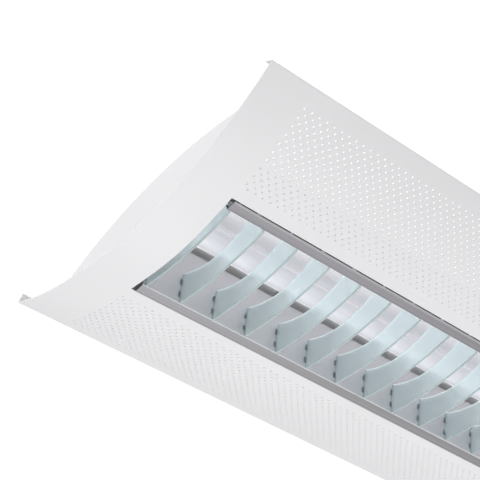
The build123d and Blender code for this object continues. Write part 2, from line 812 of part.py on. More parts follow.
# ---------------------------------------------------------------------------
# louvre: two side reflectors with flat trims, tied by the cross blades
# ---------------------------------------------------------------------------
with BuildPart() as side_reflector_rear:
    with BuildSketch(Plane.YZ.offset(-LOUVRE_HALF_X)):
        with BuildLine():
            Polyline(rise(folded(REFLECTOR_LINE, -REFLECTOR_T)), close=True)
        make_face()
    extrude(amount=2 * LOUVRE_HALF_X)
    for lo, hi in (SLOT_UP, SLOT_LOW):
        with BuildSketch(Plane.XZ.offset(-50.0)):
            shift = (SLOT_RIGHT - SLOT_LEFT) / 2
            with Locations(*[(x + shift, h((lo + hi) / 2)) for x in BLADE_X]):
                Rectangle(SLOT_LEFT + SLOT_RIGHT, hi - lo)
        extrude(amount=-18.0, mode=Mode.SUBTRACT)
side_reflector_rear.part.label = "side_reflector_rear"
export_step(side_reflector_rear.part, "parts/side_reflector_rear.step")

with BuildPart() as side_reflector_front:
    add(side_reflector_rear.part.mirror(Plane.XZ))
side_reflector_front.part.label = "side_reflector_front"
export_step(side_reflector_front.part, "parts/side_reflector_front.step")

BLADE_SIDE = [
    (62.3, -43.3),
    (62.35, -36.0),
    (66.0, -36.0),
    (66.0, -30.0),
    (61.55, -30.0),
    (59.3, -21.8),
    (62.6, -21.8),
    (62.6, -16.0),
    (57.4, -16.0),
    (54.7, -9.4),
]
with BuildPart() as cross_blades:
    for x in BLADE_X:
        with BuildSketch(Plane.YZ.offset(x - BLADE_T / 2)):
            with BuildLine():
                ThreePointArc(
                    (-62.3, h(-43.3)), (0, h(-48.6)), (62.3, h(-43.3))
                )
                Polyline(rise(BLADE_SIDE))
                ThreePointArc((54.7, h(-9.4)), (0, h(-23.6)), (-54.7, h(-9.4)))
                Polyline(rise(mirrored(BLADE_SIDE)))
            make_face()
        extrude(amount=BLADE_T)
cross_blades.part.label = "cross_blades"
export_step(cross_blades.part, "parts/cross_blades.step")


def trim_top(y):
    """Height of the upper face of a trim at distance y from the middle."""
    return -43.3 - (abs(y) - 64.2) * 0.5 / 10.8 + REFLECTOR_T * 1.001


# hinge arms on the front trim, and the pins they carry
ARM_Y = (65.2, 72.8)
with BuildPart() as hinge_arms:
    for side in (-1, 1):
        x0, x1 = side * 584.0, side * 595.5
        with BuildSketch(Plane.YZ.offset(min(x0, x1))):
            with BuildLine():
                Polyline(
                    (-ARM_Y[0], h(trim_top(ARM_Y[0]) + 0.03)),
                    (-ARM_Y[1], h(trim_top(ARM_Y[1]) + 0.03)),
                    (-ARM_Y[1], h(trim_top(ARM_Y[1]) + 1.23)),
                    (-ARM_Y[0], h(trim_top(ARM_Y[0]) + 1.23)),
                    close=True,
                )
            make_face()
        extrude(amount=11.5)
        for x in (side * 584.0, side * 595.5 - side * 1.2):
            with BuildSketch(Plane.YZ.offset(min(x, x + side * 1.2))):
                with BuildLine():
                    Polyline(
                        (-ARM_Y[0], h(trim_top(ARM_Y[0]) + 1.0)),
                        (-ARM_Y[1], h(trim_top(ARM_Y[1]) + 1.0)),
                        (-ARM_Y[1], h(HINGE_H)),
                        (-ARM_Y[0], h(HINGE_H)),
                        close=True,
                    )
                make_face()
                with Locations((HINGE_Y, h(HINGE_H))):
                    Circle(3.5)
                    Circle(HINGE_PIN_R + 0.02, mode=Mode.SUBTRACT)
            extrude(amount=1.2)
hinge_arms.part.label = "hinge_arms"
export_step(hinge_arms.part, "parts/hinge_arms.step")

with BuildPart() as hinge_pins:
    for side in (-1, 1):
        plane = Plane(
            origin=(side * 582.5, HINGE_Y, h(HINGE_H)),
            x_dir=(0, 1, 0),
            z_dir=(side, 0, 0),
        )
        with BuildSketch(plane):
            Circle(HINGE_PIN_R)
        extrude(amount=25.0)
        with BuildSketch(plane):
            Circle(3.0)
        extrude(amount=1.2)
hinge_pins.part.label = "hinge_pins"
export_step(hinge_pins.part, "parts/hinge_pins.step")

# hinge sockets on the sheet, at both ends of the opening
SOCKET_X = 602.6
with BuildPart() as hinge_sockets:
    for side in (-1, 1):
        x = side * SOCKET_X
        with BuildSketch(Plane.YZ.offset(min(x, x + side * 1.5))):
            with BuildLine():
                for a, m, b in sheet_arcs(SHEET_T + 0.05, -80.0, -64.0):
                    ThreePointArc(a, m, b)
                Polyline(
                    sheet_point(-64.0, SHEET_T + 0.05),
                    (-64.0, h(-34.0)),
                    (-67.5, h(-30.5)),
                    (-77.0, h(-30.5)),
                    (-79.2, h(-33.0)),
                    sheet_point(-80.0, SHEET_T + 0.05),
                )
            make_face()
            with Locations((HINGE_Y, h(HINGE_H))):
                Circle(HINGE_HOLE_R, mode=Mode.SUBTRACT)
        extrude(amount=1.5)
        foot = side * (SOCKET_X + 1.5)
        with BuildSketch(Plane.YZ.offset(min(foot, foot + side * 10.5))):
            with BuildLine():
                for a, m, b in sheet_arcs(SHEET_T + 0.05, -80.0, -64.0):
                    ThreePointArc(a, m, b)
                Line(
                    sheet_point(-64.0, SHEET_T + 0.05),
                    sheet_point(-64.0, SHEET_T + 1.55),
                )
                for a, m, b in sheet_arcs(SHEET_T + 1.55, -64.0, -80.0):
                    ThreePointArc(a, m, b)
                Line(
                    sheet_point(-80.0, SHEET_T + 1.55),
                    sheet_point(-80.0, SHEET_T + 0.05),
                )
            make_face()
        extrude(amount=10.5)
hinge_sockets.part.label = "hinge_sockets"
export_step(hinge_sockets.part, "parts/hinge_sockets.step")

# magnetic catches along the rear side
CATCH_Y = (67.5, 74.5)
CATCH_LEN = 24.0
with BuildPart() as catch_strikes:
    for x in CATCH_X:
        with BuildSketch(Plane.YZ.offset(x - CATCH_LEN / 2)):
            with BuildLine():
                Polyline(
                    (CATCH_Y[0], h(trim_top(CATCH_Y[0]) + 0.03)),
                    (CATCH_Y[1], h(trim_top(CATCH_Y[1]) + 0.03)),
                    (CATCH_Y[1], h(-40.3)),
                    (CATCH_Y[0], h(-40.3)),
                    close=True,
                )
            make_face()
        extrude(amount=CATCH_LEN)
catch_strikes.part.label = "catch_strikes"
export_step(catch_strikes.part, "parts/catch_strikes.step")

with BuildPart() as catch_magnets:
    for x in CATCH_X:
        with BuildSketch(Plane.XY.offset(h(-40.0))):
            with Locations((x, sum(CATCH_Y) / 2)):
                RectangleRounded(CATCH_LEN, CATCH_Y[1] - CATCH_Y[0], 1.0)
        extrude(amount=8.0)
catch_magnets.part.label = "catch_magnets"
export_step(catch_magnets.part, "parts/catch_magnets.step")

CATCH_LINE = [(67.0, -31.95), (79.7, -31.95), (78.1, -19.5)]
with BuildPart() as catch_brackets:
    for x in CATCH_X:
        with BuildSketch(Plane.YZ.offset(x - 10.0)):
            with BuildLine():
                Polyline(rise(folded(CATCH_LINE, 1.2)), close=True)
            make_face()
        extrude(amount=20.0)
catch_brackets.part.label = "catch_brackets"
export_step(catch_brackets.part, "parts/catch_brackets.step")

# ---------------------------------------------------------------------------
# suspension: hat brackets, their screws, and wire grippers
# ---------------------------------------------------------------------------
BRACKET_LINE = [
    (-42.0, CHANNEL_TOP + 2.02),
    (-22.0, CHANNEL_TOP + 2.02),
    (-22.0, BRACKET_TOP),
    (22.0, BRACKET_TOP),
    (22.0, CHANNEL_TOP + 2.02),
    (42.0, CHANNEL_TOP + 2.02),
]
with BuildPart() as suspension_brackets:
    for side in (-1, 1):
        cx = side * SUSPENSION_SPACING / 2
        with BuildSketch(Plane.YZ.offset(cx - 16.0)):
            with BuildLine():
                Polyline(rise(folded(BRACKET_LINE, -2.0)), close=True)
            make_face()
        extrude(amount=32.0)
    with BuildSketch(Plane.XY.offset(h(CHANNEL_TOP + 12))):
        with Locations((-SUSPENSION_SPACING / 2, 0), (SUSPENSION_SPACING / 2, 0)):
            Circle(4.2)
    extrude(amount=8, mode=Mode.SUBTRACT)
    with BuildSketch(Plane.XY.offset(h(CHANNEL_TOP - 1))):
        with Locations(*BRACKET_SCREW_XY):
            Circle(2.1)
    extrude(amount=5, mode=Mode.SUBTRACT)
suspension_brackets.part.label = "suspension_brackets"
export_step(suspension_brackets.part, "parts/suspension_brackets.step")

with BuildPart() as bracket_screws:
    with BuildSketch(Plane.XY.offset(h(CHANNEL_TOP + 2.05))):
        with Locations(*BRACKET_SCREW_XY):
            Circle(3.8)
    extrude(amount=2.4)
    with BuildSketch(Plane.XY.offset(h(CHANNEL_TOP + 2.05))):
        with Locations(*BRACKET_SCREW_XY):
            Circle(1.95)
    extrude(amount=-8.5)
    with BuildSketch(Plane.XY.offset(h(CHANNEL_TOP + 3.1))):
        with Locations(*BRACKET_SCREW_XY):
            Rectangle(4.8, 0.9)
            Rectangle(0.9, 4.8)
    extrude(amount=2, mode=Mode.SUBTRACT)
bracket_screws.part.label = "bracket_screws"
export_step(bracket_screws.part, "parts/bracket_screws.step")

with BuildPart() as bracket_nuts:
    with BuildSketch(Plane.XY.offset(h(CHANNEL_TOP - CHANNEL_T - 0.03))):
        with Locations(*BRACKET_SCREW_XY):
            RegularPolygon(4.0, 6)
            Circle(1.97, mode=Mode.SUBTRACT)
    extrude(amount=-3.2)
bracket_nuts.part.label = "bracket_nuts"
export_step(bracket_nuts.part, "parts/bracket_nuts.step")


def turned(cx):
    """Upright plane through the axis of the gripper at x = cx."""
    return Plane(origin=(cx, 0, 0), x_dir=(1, 0, 0), z_dir=(0, -1, 0))


GRIPPER_X = (-SUSPENSION_SPACING / 2, SUSPENSION_SPACING / 2)
# body: stud through the bracket, wire bore, spring chamber
with BuildPart() as gripper_bodies:
    for cx in GRIPPER_X:
        with BuildSketch(turned(cx)):
            with BuildLine():
                Polyline(
                    (WIRE_BORE_R, -9.0),
                    (3.6, -9.0),
                    (4.0, -8.6),
                    (4.0, 0.02),
                    (7.0, 0.02),
                    (7.5, 0.5),
                    (7.5, 10.0),
                    (6.0, 10.0),
                    (6.0, 15.0),
                    (4.4, 15.0),
                    (4.4, 4.0),
                    (WIRE_BORE_R, 4.0),
                    close=True,
                )
            make_face()
        revolve(axis=Axis((cx, 0, 0), (0, 0, 1)))
        # two spanner flats
        with BuildSketch(Plane.XY.offset(1.5)):
            with Locations((cx, 8.0), (cx, -8.0)):
                Rectangle(16.0, 3.0)
        extrude(amount=6.0, mode=Mode.SUBTRACT)
gripper_bodies.part.label = "gripper_bodies"
export_step(gripper_bodies.part, "parts/gripper_bodies.step")

# cap: screwed over the body, with the locking cone inside
with BuildPart() as gripper_caps:
    for cx in GRIPPER_X:
        with BuildSketch(turned(cx)):
            with BuildLine():
                Polyline(
                    (6.05, 10.05),
                    (7.5, 10.05),
                    (7.5, 21.2),
                    (6.7, 22.0),
                    (2.98, 22.0),
                    (2.98, 19.0),
                    (4.35, 15.05),
                    (6.05, 15.05),
                    close=True,
                )
            make_face()
        revolve(axis=Axis((cx, 0, 0), (0, 0, 1)))
        # knurl: shallow upright grooves round the cap
        with BuildSketch(Plane.XY.offset(12.0)):
            with Locations((cx, 0)):
                with PolarLocations(7.62, 18):
                    Circle(0.42)
        extrude(amount=7.5, mode=Mode.SUBTRACT)
gripper_caps.part.label = "gripper_caps"
export_step(gripper_caps.part, "parts/gripper_caps.step")

with BuildPart() as gripper_nuts:
    with BuildSketch(Plane.XY.offset(-2.03)):
        with Locations((GRIPPER_X[0], 0), (GRIPPER_X[1], 0)):
            RegularPolygon(7.5, 6)
            Circle(4.02, mode=Mode.SUBTRACT)
    extrude(amount=-5.0)
gripper_nuts.part.label = "gripper_nuts"
export_step(gripper_nuts.part, "parts/gripper_nuts.step")

SLEEVE_LINE = [
    (1.3, 10.8),
    (2.9, 10.8),
    (2.9, 17.0),
    (3.2, 17.2),
    (3.2, 18.0),
    (2.9, 18.2),
    (2.9, 25.2),
    (4.6, 25.2),
    (4.9, 25.6),
    (4.9, 27.2),
    (4.2, 28.0),
    (1.9, 28.0),
    (1.3, 27.2),
]
BALL_R = 1.2
BALL_AT = 2.62
BALL_Z = 14.2
for name, cx in (("left", GRIPPER_X[0]), ("right", GRIPPER_X[1])):
    with BuildPart() as release_sleeve:
        with BuildSketch(turned(cx)):
            with BuildLine():
                Polyline(SLEEVE_LINE, close=True)
            make_face()
        revolve(axis=Axis((cx, 0, 0), (0, 0, 1)))
        for k in range(3):
            a = radians(120 * k + 30)
            with BuildSketch(
                Plane(
                    origin=(cx, 0, BALL_Z),
                    x_dir=(-sin(a), cos(a), 0),
                    z_dir=(cos(a), sin(a), 0),
                )
            ):
                Circle(BALL_R + 0.05)
            extrude(amount=6.0, mode=Mode.SUBTRACT)
    release_sleeve.part.label = "release_sleeve_" + name
    export_step(release_sleeve.part, "parts/release_sleeve_" + name + ".step")

    with BuildPart() as locking_balls:
        with Locations(
            *[
                (
                    cx + BALL_AT * cos(radians(120 * k + 30)),
                    BALL_AT * sin(radians(120 * k + 30)),
                    BALL_Z,
                )
                for k in range(3)
            ]
        ):
            Sphere(BALL_R)
    locking_balls.part.label = "locking_balls_" + name
    export_step(locking_balls.part, "parts/locking_balls_" + name + ".step")

    # compression spring under the sleeve
    with BuildPart() as release_spring:
        with BuildLine() as coil:
            Helix(pitch=1.55, height=6.2, radius=2.5, center=(cx, 0, 4.32))
        start = coil.wires()[0] @ 0
        with BuildSketch(
            Plane(origin=start, x_dir=(1, 0, 0), z_dir=coil.wires()[0] % 0)
        ):
            Circle(0.25)
        sweep(path=coil.wires()[0], is_frenet=True)
    release_spring.part.label = "release_spring_" + name
    export_step(release_spring.part, "parts/release_spring_" + name + ".step")

# ---------------------------------------------------------------------------
# cable gland on top of the channel
# ---------------------------------------------------------------------------
with BuildPart() as cable_gland:
    with BuildSketch(turned(INLET_X)):
        with BuildLine():
            Polyline(
                (4.8, h(CHANNEL_TOP - 9.0)),
                (8.0, h(CHANNEL_TOP - 9.0)),
                (8.0, h(CHANNEL_TOP + 0.03)),
                (10.5, h(CHANNEL_TOP + 0.03)),
                (10.5, h(CHANNEL_TOP + 5.0)),
                (7.6, h(CHANNEL_TOP + 5.0)),
                (7.6, h(CHANNEL_TOP + 9.0)),
                (4.8, h(CHANNEL_TOP + 9.0)),
                close=True,
            )
        make_face()
    revolve(axis=Axis((INLET_X, 0, 0), (0, 0, 1)))
cable_gland.part.label = "cable_gland"
export_step(cable_gland.part, "parts/cable_gland.step")

with BuildPart() as gland_cap:
    with BuildSketch(turned(INLET_X)):
        with BuildLine():
            Polyline(
                (7.65, h(CHANNEL_TOP + 5.1)),
                (10.0, h(CHANNEL_TOP + 5.1)),
                (10.0, h(CHANNEL_TOP + 12.0)),
                (8.6, h(CHANNEL_TOP + 15.5)),
                (6.0, h(CHANNEL_TOP + 17.1)),
                (INLET_BORE_R, h(CHANNEL_TOP + 17.1)),
                (INLET_BORE_R, h(CHANNEL_TOP + 9.1)),
                (7.65, h(CHANNEL_TOP + 9.1)),
                close=True,
            )
        make_face()
    revolve(axis=Axis((INLET_X, 0, 0), (0, 0, 1)))
    with BuildSketch(Plane.XY.offset(h(CHANNEL_TOP + 5.6))):
        with Locations((INLET_X, 0)):
            with PolarLocations(10.15, 16):
                Circle(0.55)
    extrude(amount=6.0, mode=Mode.SUBTRACT)
gland_cap.part.label = "gland_cap"
export_step(gland_cap.part, "parts/gland_cap.step")

with BuildPart() as gland_nut:
    with BuildSketch(Plane.XY.offset(h(CHANNEL_TOP - CHANNEL_T - 0.03))):
        with Locations((INLET_X, 0)):
            RegularPolygon(12.0, 6)
            Circle(8.03, mode=Mode.SUBTRACT)
    extrude(amount=-4.0)
gland_nut.part.label = "gland_nut"
export_step(gland_nut.part, "parts/gland_nut.step")
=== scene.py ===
"""Suspended fluorescent fixture: finishes, detailed visible sheets and blades, light and camera."""

import math

import bpy
import bmesh
import numpy as np
from mathutils import Matrix, Vector


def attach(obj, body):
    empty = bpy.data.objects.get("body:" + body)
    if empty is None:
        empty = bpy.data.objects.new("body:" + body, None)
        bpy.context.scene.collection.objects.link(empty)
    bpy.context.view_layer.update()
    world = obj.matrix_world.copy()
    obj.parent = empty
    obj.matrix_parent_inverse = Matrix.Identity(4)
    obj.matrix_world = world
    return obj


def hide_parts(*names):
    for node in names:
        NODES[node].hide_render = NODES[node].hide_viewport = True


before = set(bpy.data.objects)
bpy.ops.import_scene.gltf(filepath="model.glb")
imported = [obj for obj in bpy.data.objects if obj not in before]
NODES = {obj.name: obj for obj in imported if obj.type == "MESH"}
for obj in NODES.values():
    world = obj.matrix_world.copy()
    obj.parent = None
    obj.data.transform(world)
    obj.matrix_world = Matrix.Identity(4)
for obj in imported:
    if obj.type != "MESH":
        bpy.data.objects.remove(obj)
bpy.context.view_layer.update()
MM = 0.001

# ---------------------------------------------------------------------------
# measures shared with the construction, in millimetres
# ---------------------------------------------------------------------------
FOLD_Z = -62.0
HALF_L = 654.0
HALF_W = 200.0
SHEET_T = 1.0
SHEET_ARCS = [
    (0.0, 224.697, 276.266, 0.140541),
    (-80.232, 791.813, 849.029, 0.223518),
    (35.465, 282.843, 327.075, 0.527130),
]
LIP_W = 11.1
LIP_DIR = (-0.8107, 0.5855)
OPEN_X = 601.5
OPEN_Y = {-1.0: 77.6, 1.0: 76.6}
BLADE_X = [42.3 * (k - 14) for k in range(29)]
BLADE_T = 2.5
LAMP_H = -9.3

HOLE_R = 1.22
HOLE_SIDES = 12
HOLE_X0 = 599.4
HOLE_PITCH = 2 * HOLE_X0 / 129.5
HOLE_ROWS = 20
ROW_PITCH = 4.9
ROW_Y0 = 92.5


# ---------------------------------------------------------------------------
# materials
# ---------------------------------------------------------------------------
class Tree:
    """A material's nodes, with short names for the ones used often."""

    def __init__(self, name):
        self.mat = bpy.data.materials.new(name)
        self.mat.use_nodes = True
        self.nodes = self.mat.node_tree.nodes
        self.links = self.mat.node_tree.links
        self.nodes.clear()
        self.out = self.nodes.new("ShaderNodeOutputMaterial")
        self.coord = self.nodes.new("ShaderNodeTexCoord").outputs["Object"]

    def link(self, a, b):
        self.links.new(a, b)

    def stretch(self, sx, sy, sz):
        m = self.nodes.new("ShaderNodeMapping")
        m.inputs["Scale"].default_value = (sx, sy, sz)
        self.link(self.coord, m.inputs["Vector"])
        return m.outputs["Vector"]

    def noise(self, vector, scale, detail=4.0, rough=0.55):
        n = self.nodes.new("ShaderNodeTexNoise")
        n.inputs["Scale"].default_value = scale
        n.inputs["Detail"].default_value = detail
        n.inputs["Roughness"].default_value = rough
        self.link(vector, n.inputs["Vector"])
        return n.outputs["Fac"]

    def ramp(self, fac, stops):
        r = self.nodes.new("ShaderNodeValToRGB")
        e = r.color_ramp.elements
        while len(e) < len(stops):
            e.new(0.5)
        for el, (pos, col) in zip(e, stops):
            el.position = pos
            el.color = (*col, 1.0)
        self.link(fac, r.inputs["Fac"])
        return r.outputs["Color"]

    def map(self, fac, lo, hi, a=0.3, b=0.7):
        m = self.nodes.new("ShaderNodeMapRange")
        m.inputs["From Min"].default_value = a
        m.inputs["From Max"].default_value = b
        m.inputs["To Min"].default_value = lo
        m.inputs["To Max"].default_value = hi
        self.link(fac, m.inputs["Value"])
        return m.outputs["Result"]

    def mix(self, fac, a, b, blend="MIX"):
        m = self.nodes.new("ShaderNodeMix")
        m.data_type = "RGBA"
        m.blend_type = blend
        for value, socket in ((fac, m.inputs[0]), (a, m.inputs[6]), (b, m.inputs[7])):
            if isinstance(value, (int, float)):
                socket.default_value = value
            elif isinstance(value, tuple):
                socket.default_value = (*value, 1.0)
            else:
                self.link(value, socket)
        return m.outputs[2]

    def maths(self, op, a, b=0.0):
        m = self.nodes.new("ShaderNodeMath")
        m.operation = op
        for value, socket in ((a, m.inputs[0]), (b, m.inputs[1])):
            if isinstance(value, (int, float)):
                socket.default_value = value
            else:
                self.link(value, socket)
        return m.outputs[0]

    def bump(self, height, distance, strength=1.0, below=None):
        b = self.nodes.new("ShaderNodeBump")
        b.inputs["Distance"].default_value = distance
        b.inputs["Strength"].default_value = strength
        self.link(height, b.inputs["Height"])
        if below is not None:
            self.link(below, b.inputs["Normal"])
        return b.outputs["Normal"]

    def surface(self, colour, rough, normal=None, **fixed):
        s = self.nodes.new("ShaderNodeBsdfPrincipled")
        self.link(colour, s.inputs["Base Color"])
        if isinstance(rough, (int, float)):
            s.inputs["Roughness"].default_value = rough
        else:
            self.link(rough, s.inputs["Roughness"])
        if normal is not None:
            self.link(normal, s.inputs["Normal"])
        for key, value in fixed.items():
            s.inputs[key.replace("_", " ")].default_value = value
        self.link(s.outputs[0], self.out.inputs["Surface"])
        return s


def grey(v):
    return (v, v, v)


def tint(c, k):
    return tuple(min(1.0, x * k) for x in c)


def paint(name, colour, rough=0.42, peel=900.0, depth=0.00002, painted_glow_strength=0.0):
    """Powder coat or enamel: a fine peel, faint cloudiness and slightly uneven gloss. A glow strength above zero
    paints light into the coat: a painted glow on a part that is no lamp.
    """
    t = Tree(name)
    cloud = t.noise(t.stretch(1, 1, 1), 6.0, 3)
    speck = t.noise(t.stretch(1, 1, 1), 260.0, 3)
    base = t.ramp(cloud, [(0.3, tint(colour, 0.985)), (0.7, tint(colour, 1.012))])
    base = t.mix(t.map(speck, 0.0, 0.05), base, tint(colour, 0.93))
    r = t.map(t.noise(t.stretch(1, 1, 1), 22.0, 3), rough - 0.04, rough + 0.06)
    n = t.bump(t.noise(t.stretch(1, 1, 1), peel, 2), depth)
    s = t.surface(base, r, n, Specular_IOR_Level=0.45)
    # painted glow: emission in the coat standing in for light, zero unless a strength is given
    s.inputs["Emission Color"].default_value = (1.0, 0.98, 1.0, 1)
    s.inputs["Emission Strength"].default_value = painted_glow_strength
    return t.mat


def metal(name, colour, rough=0.3, grain=(6.0, 260.0, 260.0), depth=0.000012,
          strength=0.5, aniso=0.0, streak=0.06, scratch=0.0, metallic=1.0):
    """Rolled or brushed metal: fine lines along X, streaks in colour and gloss."""
    t = Tree(name)
    lines = t.noise(t.stretch(*grain), 9.0, 5, 0.7)
    broad = t.noise(t.stretch(1.5, 30, 30), 3.0, 3)
    base = t.ramp(lines, [(0.28, tint(colour, 1 - streak)), (0.72, tint(colour, 1 + streak))])
    base = t.mix(t.map(broad, 0.0, 0.35), base, tint(colour, 0.94))
    if scratch:
        drawn = t.noise(t.stretch(2.2, 420, 420), 1.0, 3, 0.6)
        base = t.mix(t.map(drawn, 0.0, scratch, 0.40, 0.62), base, tint(colour, 0.62))
    r = t.map(lines, rough - 0.05, rough + 0.07)
    n = t.bump(lines, depth, strength)
    t.surface(base, r, n, Metallic=metallic, Anisotropic=aniso)
    return t.mat


def plated(name, colour, rough=0.28, wear=0.12, scale=120.0):
    """Zinc or nickel plate: cloudy crystals, small dull spots."""
    t = Tree(name)
    cloud = t.noise(t.stretch(1, 1, 1), scale, 5, 0.6)
    fine = t.noise(t.stretch(1, 1, 1), 1800.0, 2)
    base = t.ramp(cloud, [(0.3, tint(colour, 1 - wear)), (0.7, tint(colour, 1 + wear * 0.6))])
    r = t.map(cloud, rough - 0.06, rough + 0.12)
    n = t.bump(fine, 0.00001, 0.6)
    t.surface(base, r, n, Metallic=1.0)
    return t.mat


def plastic(name, colour, rough=0.38, grain=2200.0, depth=0.000012, spread=0.03):
    """Moulded plastic: fine spark-eroded grain, faint flow marks."""
    t = Tree(name)
    flow = t.noise(t.stretch(1, 1, 1), 30.0, 3)
    base = t.ramp(flow, [(0.3, tint(colour, 1 - spread)), (0.7, tint(colour, 1 + spread))])
    r = t.map(t.noise(t.stretch(1, 1, 1), 140.0, 3), rough - 0.05, rough + 0.07)
    n = t.bump(t.noise(t.stretch(1, 1, 1), grain, 2), depth, 0.7)
    t.surface(base, r, n)
    return t.mat


def frosted_face():
    """Frosted faces of a cross blade: pale green-blue, cloudy, lets light through. Painted shade makes the rear half
    darker and greener, and a painted glow, brightest on the front half and fading towards the rear, stands in for the
    lamp's light in the plate."""
    t = Tree("blade_face_painted_light")
    cloud = t.noise(t.stretch(1, 1, 1), 40.0, 3)
    grain = t.noise(t.stretch(1, 1, 1), 1500.0, 3)
    base = t.ramp(cloud, [(0.3, (0.885, 0.970, 0.975)), (0.7, (0.915, 0.985, 0.985))])
    split = t.nodes.new("ShaderNodeSeparateXYZ")
    t.link(t.coord, split.inputs[0])
    # painted shade: the rear half of each blade darker and greener
    base = t.mix(t.map(split.outputs[1], 0.0, 1.0, 0.0, 0.042), base, (0.79, 0.87, 0.88))
    r = t.map(grain, 0.35, 0.40)
    n = t.bump(grain, 0.000003, 0.2)
    s = t.surface(base, r, n, Transmission_Weight=0.90, IOR=1.30)
    # painted glow across the blade, brightest on the front half: painted light standing in for the lamp's light
    glow_across = t.map(split.outputs[1], 0.0, 1.0, -0.075, 0.075)
    painted_glow = t.ramp(glow_across, [(0.0, (0.060, 0.070, 0.077)), (0.45, (0.086, 0.098, 0.107)),
                          (0.55, (0.045, 0.052, 0.056)), (0.66, (0.005, 0.006, 0.007))])
    t.link(painted_glow, s.inputs["Emission Color"])
    s.inputs["Emission Strength"].default_value = 1.0
    thin = t.nodes.new("ShaderNodeBsdfTranslucent")
    thin.inputs["Color"].default_value = (0.90, 0.97, 0.975, 1)
    both = t.nodes.new("ShaderNodeMixShader")
    both.inputs[0].default_value = 0.24
    t.link(s.outputs[0], both.inputs[1])
    t.link(thin.outputs[0], both.inputs[2])
    t.link(both.outputs[0], t.out.inputs["Surface"])
    return t.mat


def blade_edge(name, colour, painted_rim_glow=0.0):
    """Sawn and flame-dulled edges of a blade, with saw lines; a glow strength above zero gives the rim a painted glow,
    a painted highlight where the plate's edge would catch the light."""
    t = Tree(name)
    lines = t.noise(t.stretch(900, 30, 30), 1.0, 3)
    base = t.ramp(lines, [(0.3, tint(colour, 0.9)), (0.7, tint(colour, 1.08))])
    r = t.map(lines, 0.16, 0.34)
    n = t.bump(lines, 0.00002, 0.4)
    s = t.surface(base, r, n, IOR=1.49)
    if painted_rim_glow:
        s.inputs["Emission Color"].default_value = (0.90, 1.0, 1.0, 1)
        s.inputs["Emission Strength"].default_value = painted_rim_glow
    return t.mat


LAMP_GLOW = 0.40


def lamp_glass():
    """Glass tube with a white coating inside, a little greyer by the ends."""
    t = Tree("lamp_glass_coated")
    cloud = t.noise(t.stretch(4, 30, 30), 6.0, 3)
    base = t.ramp(cloud, [(0.3, (0.42, 0.425, 0.44)), (0.7, (0.45, 0.455, 0.47))])
    split = t.nodes.new("ShaderNodeSeparateXYZ")
    t.link(t.coord, split.inputs[0])
    far = t.maths("ABSOLUTE", split.outputs[0])
    base = t.mix(t.map(far, 0.0, 0.5, 0.545, 0.598), base, (0.42, 0.40, 0.39))
    r = t.map(t.noise(t.stretch(1, 1, 1), 60.0, 3), 0.30, 0.42)
    n = t.bump(t.noise(t.stretch(1, 8, 8), 60.0, 2), 0.00002, 0.3)
    s = t.surface(base, r, n, Coat_Weight=1.0, Coat_Roughness=0.04)
    s.inputs["Emission Color"].default_value = (0.93, 0.92, 1.0, 1)
    s.inputs["Emission Strength"].default_value = LAMP_GLOW
    return t.mat


def stripes(name, a, b, pitch=0.006):
    """Two-colour wire insulation, the second colour in long narrow bands."""
    t = Tree(name)
    w = t.nodes.new("ShaderNodeTexWave")
    w.inputs["Scale"].default_value = 1 / (6.3 * pitch)
    w.inputs["Distortion"].default_value = 0.4
    t.link(t.stretch(0.3, 1, 1), w.inputs["Vector"])
    base = t.ramp(w.outputs["Fac"], [(0.55, a), (0.6, b)])
    r = t.map(t.noise(t.stretch(1, 1, 1), 300.0, 2), 0.35, 0.5)
    n = t.bump(t.noise(t.stretch(1, 1, 1), 900.0, 2), 0.00002, 0.4)
    t.surface(base, r, n)
    return t.mat


FINISH = {
    "white_paint": paint("powder_coat_white", (0.785, 0.785, 0.797)),
    "gear_enamel": paint("gear_enamel_white", (0.84, 0.84, 0.83), 0.5, 500.0, 0.00003),
    "satin_aluminium": metal("aluminium_brushed", (0.325, 0.32, 0.335), 0.46, scratch=0.32),
    "bright_aluminium": metal("aluminium_bright", (0.985, 0.975, 1.0), 0.42, streak=0.02, metallic=0.15),
    "zinc_steel": plated("zinc_plate", (0.60, 0.61, 0.63)),
    "nickel": plated("nickel_plate", (0.66, 0.64, 0.60), 0.22, 0.06, 300.0),
    "brass": plated("brass_plain", (0.72, 0.53, 0.25), 0.26, 0.10, 200.0),
    "lamp_cap": metal("cap_aluminium", (0.66, 0.66, 0.67), 0.30, (200.0, 12.0, 12.0)),
    "white_plastic": plastic("plastic_white", (0.80, 0.80, 0.78)),
    "grey_plastic": plastic("plastic_grey", (0.36, 0.37, 0.38), 0.45),
    "dark_plastic": plastic("plastic_dark", (0.03, 0.03, 0.035), 0.5),
    "wire_white": plastic("insulation_white", (0.78, 0.78, 0.76), 0.42, 900.0),
    "wire_earth": stripes("insulation_earth", (0.12, 0.42, 0.06), (0.80, 0.72, 0.08)),
    "lamp_glass": lamp_glass(),
    "frosted_blade": frosted_face(),
}
REFLECTING = metal("aluminium_reflecting", (0.80, 0.79, 0.81), 0.50, streak=0.02, metallic=0.6)
# front trim: a darker copy of the brushed aluminium, painted shade on the front strip
TRIM_FRONT_SHADED = metal("aluminium_brushed_front_shaded", (0.305, 0.298, 0.315), 0.46, scratch=0.32)
# front trim's outer bend: a much lighter copy of the trim's aluminium, a painted highlight
BEVEL_HIGHLIGHT = metal("aluminium_bevel_painted_highlight", (0.78, 0.775, 0.79), 0.42)
MILL = metal("aluminium_mill", (0.30, 0.30, 0.31), 0.55)
# the bend at each trim's inner edge: near-white and without metal sheen, a painted highlight on the aluminium
INNER_BEND_HIGHLIGHT = plastic("aluminium_inner_bend_painted_highlight", (0.90, 0.90, 0.92), 0.30, 900.0)
# hole walls: a lighter copy of the sheet's white coat, painted light that offsets the shade inside the holes
HOLE_WALL_LIT = paint("coat_in_holes_painted_light", (0.84, 0.84, 0.85), 0.6)
